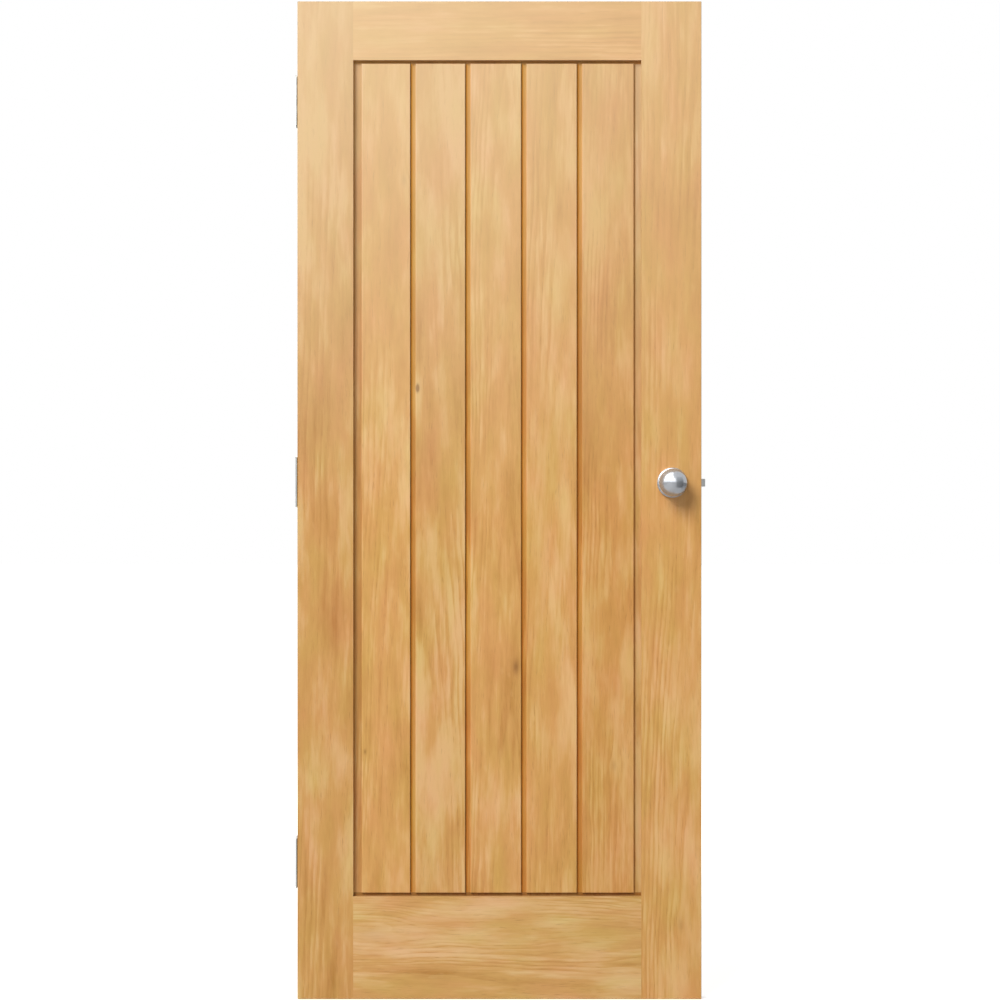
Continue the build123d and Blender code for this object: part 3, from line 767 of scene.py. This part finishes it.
def recessed_screws(name, node, head_radius, radius, out, body):
    """Countersunk screws along X in place of a CAD node's. out is the way that their heads face."""
    places = solids(node)
    length = places[0][1][0] - places[0][0][0]
    head_depth = head_radius - radius
    profile = [
        (0, 0),
        (head_radius - screw_edge, 0),
        (head_radius, -screw_edge),
        (radius, -head_depth - screw_edge),
        (radius, -screw_point_start * length),
        (0, -length),
    ]
    screw = make_piece("screw", turned(profile, screw_steps), screw_metal)
    for turn in (0, pi / 2):
        recess = bmesh.new()
        blade = bmesh.ops.create_cube(recess, size=1)["verts"]
        for vertex in blade:
            deep = vertex.co.z < 0
            long, wide = blade_bottom if deep else blade_top
            vertex.co.x *= head_radius * long
            vertex.co.y *= head_radius * wide
            vertex.co.z = head_radius * (-blade_below if deep else blade_above)
        bmesh.ops.rotate(recess, verts=blade, matrix=Matrix.Rotation(turn, 3, "Z"))
        cut(screw, make_piece("recess", recess, screw_metal))

    mesh = bmesh.new()
    for low, high in places:
        before = len(mesh.verts)
        mesh.from_mesh(screw.data)
        mesh.verts.ensure_lookup_table()
        added = mesh.verts[before:]
        head_x = high[0] if out > 0 else low[0]
        place = (
            Matrix.Translation((head_x, (low[1] + high[1]) / 2, (low[2] + high[2]) / 2))
            @ Matrix.Rotation(out * pi / 2, 4, "Y")
            @ Matrix.Rotation(screw_turns.uniform(0, pi), 4, "Z")
        )
        bmesh.ops.transform(mesh, matrix=place, verts=added)
    bpy.data.objects.remove(screw)
    piece = make_piece(name, mesh, screw_metal)
    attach(piece, body)
    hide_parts(node)


recessed_screws(
    "recessed_hinge_screws", "hinge_screws", 0.0044, 0.0024, -1, "door_leaf"
)
recessed_screws(
    "recessed_faceplate_screws", "faceplate_screws", 0.0036, 0.0018, 1, "door_leaf"
)


# Stage


def stage_sheet(name, corners, material):
    """A flat four-cornered sheet that belongs to the studio."""
    mesh = bpy.data.meshes.new(name)
    mesh.from_pydata(corners, [], [(0, 1, 2, 3)])
    mesh.materials.append(material)
    sheet = bpy.data.objects.new(name, mesh)
    bpy.context.scene.collection.objects.link(sheet)
    return sheet


# The floor is darker paint than it looks: the camera sees it lifted to white, and shiny things
# see it lifted a little near the door
floor_paint = 0.55
floor_reach = 40.0
lift_near, lift_far = 0.6, 3.0
lift_at_door = 0.68
mirrored_near, mirrored_far = 0.7, 4.0
mirrored_at_door = 0.25

floor_material, t = new_material("floor_paint")
ray = t.node("ShaderNodeLightPath").outputs
mirrored = t.math("MAXIMUM", ray["Is Glossy Ray"], ray["Is Transmission Ray"])
matt = t.node("ShaderNodeBsdfDiffuse", {"Color": rgb(floor_paint, floor_paint, floor_paint)})
distance = t.node("ShaderNodeVectorMath", {0: t.place()}, operation="LENGTH").outputs["Value"]
lift_level = t.spread(distance, lift_near, lift_far, lift_at_door, 1.0, smooth=True)
mirrored_level = t.spread(distance, mirrored_near, mirrored_far, mirrored_at_door, 0.0)
lift_level = t.add(t.times(ray["Is Camera Ray"], lift_level), t.times(mirrored, mirrored_level))
lift = t.node("ShaderNodeEmission", {"Color": rgb(1, 1, 1), "Strength": lift_level})
both = t.node("ShaderNodeAddShader", {0: matt.outputs[0], 1: lift.outputs[0]})
t.surface(both)
stage_sheet(
    "floor",
    [
        (side_x * floor_reach, side_y * floor_reach, leaf_low.z)
        for side_x, side_y in ((-1, -1), (1, -1), (1, 1), (-1, 1))
    ],
    floor_material,
)

# A dim card at the front right, which only shiny things show: it is darkest below the knobs
card_left, card_right = (0.95, -1.35), (2.2, -0.05)
card_low, card_high = 0.02, 2.2
card_dark_height, card_light_height = 0.8, 2.0
card_dark, card_light = 0.06, 0.60

card_material, t = new_material("dim_card")
card_level = t.spread(
    t.place_xyz()["Z"], card_dark_height, card_light_height, card_dark, card_light, smooth=True
)
glow = t.node("ShaderNodeEmission", {"Color": rgb(0.92, 0.97, 1.0), "Strength": card_level})
t.surface(glow)
card = stage_sheet(
    "dim_card",
    [
        (*card_left, card_low),
        (*card_right, card_low),
        (*card_right, card_high),
        (*card_left, card_high),
    ],
    card_material,
)
card.visible_camera = False
card.visible_diffuse = False
card.visible_shadow = False

# The room is white where it is seen, and dimmer as light
room_level = 0.31
world = bpy.data.worlds.new("studio")
bpy.context.scene.world = world
t = Tree(world)
ray = t.node("ShaderNodeLightPath").outputs
mirrored = t.math("MAXIMUM", ray["Is Glossy Ray"], ray["Is Transmission Ray"])
seen = t.math("MAXIMUM", ray["Is Camera Ray"], mirrored)
background = t.node(
    "ShaderNodeBackground",
    {"Color": rgb(1, 1, 1), "Strength": t.spread(seen, 0.0, 1.0, room_level, 1.0)},
)
t.surface(background, "ShaderNodeOutputWorld")


def softbox(name, place, target, size, watts):
    """A rectangular lamp, aimed at a point."""
    lamp = bpy.data.lights.new(name, "AREA")
    lamp.shape = "RECTANGLE"
    lamp.size, lamp.size_y = size
    lamp.energy = watts
    made = bpy.data.objects.new(name, lamp)
    made.location = place
    made.rotation_mode = "QUATERNION"
    made.rotation_quaternion = (target - Vector(place)).to_track_quat("-Z", "Y")
    made.visible_camera = False
    bpy.context.scene.collection.objects.link(made)
    return made


leaf_middle = Vector((0, 0, leaf_height / 2))
softbox("key", (-3.85, -7.0, 6.6), leaf_middle, size=(4.4, 4.4), watts=865)
softbox("back_fill", (-2.6, 3.4, 3.2), leaf_middle, size=(2.0, 2.0), watts=150)

# A wide soft wall of light at the left with a wing at its right end, and a ceiling of light. They
# give the knobs and the roses their reflections and light nothing else.
shiny = bpy.data.collections.new("shiny")
for piece in shiny_pieces:
    shiny.objects.link(piece)
reflected_radiance = 2.6
wall_left, wall_right = Vector((-6.0, -0.4, 0)), Vector((1.2, -5.6, 0))
wall_low, wall_high = 1.75, 5.4
wall_rise = Vector((0, 0, (wall_low + wall_high) / 2))
wall_size = ((wall_right - wall_left).length, wall_high - wall_low)
wall_place = (wall_left + wall_right) / 2 + wall_rise
wall_facing = (wall_right - wall_left).cross(Vector((0, 0, -1)))
wing_size = (1.1, wall_high - wall_low)
wing_forward, wing_level = 0.3, 0.55
wing_place = wall_right + Vector((wing_size[0] / 2, -wing_forward, 0)) + wall_rise
ceiling_size = (6.5, 5.0)
ceiling_place = Vector((-2.9, -2.4, 5.2))
for name, place, facing, size, level in (
    ("light_wall", wall_place, wall_facing, wall_size, 1.0),
    ("light_wing", wing_place, Vector((0, 1, 0)), wing_size, wing_level),
    ("light_ceiling", ceiling_place, Vector((0, 0, -1)), ceiling_size, 1.0),
):
    watts = level * reflected_radiance * pi * size[0] * size[1]
    lamp = softbox(name, place, place + facing, size, watts)
    lamp.light_linking.receiver_collection = shiny
    lamp.visible_diffuse = False

# Camera, level and square to the leaf
camera_distance = 6.0
sensor_width = 36.0
camera_data = bpy.data.cameras.new("camera")
camera_data.sensor_width = sensor_width
camera_data.lens = sensor_width * camera_distance / (photo_size * metres_per_px)
camera = bpy.data.objects.new("camera", camera_data)
view_x, view_z = photo_place(photo_size / 2, photo_size / 2)
camera.location = (view_x, front_y - camera_distance, view_z)
camera.rotation_euler = (pi / 2, 0, 0)
bpy.context.scene.collection.objects.link(camera)
bpy.context.scene.camera = camera

bpy.context.scene.view_settings.view_transform = "Standard"
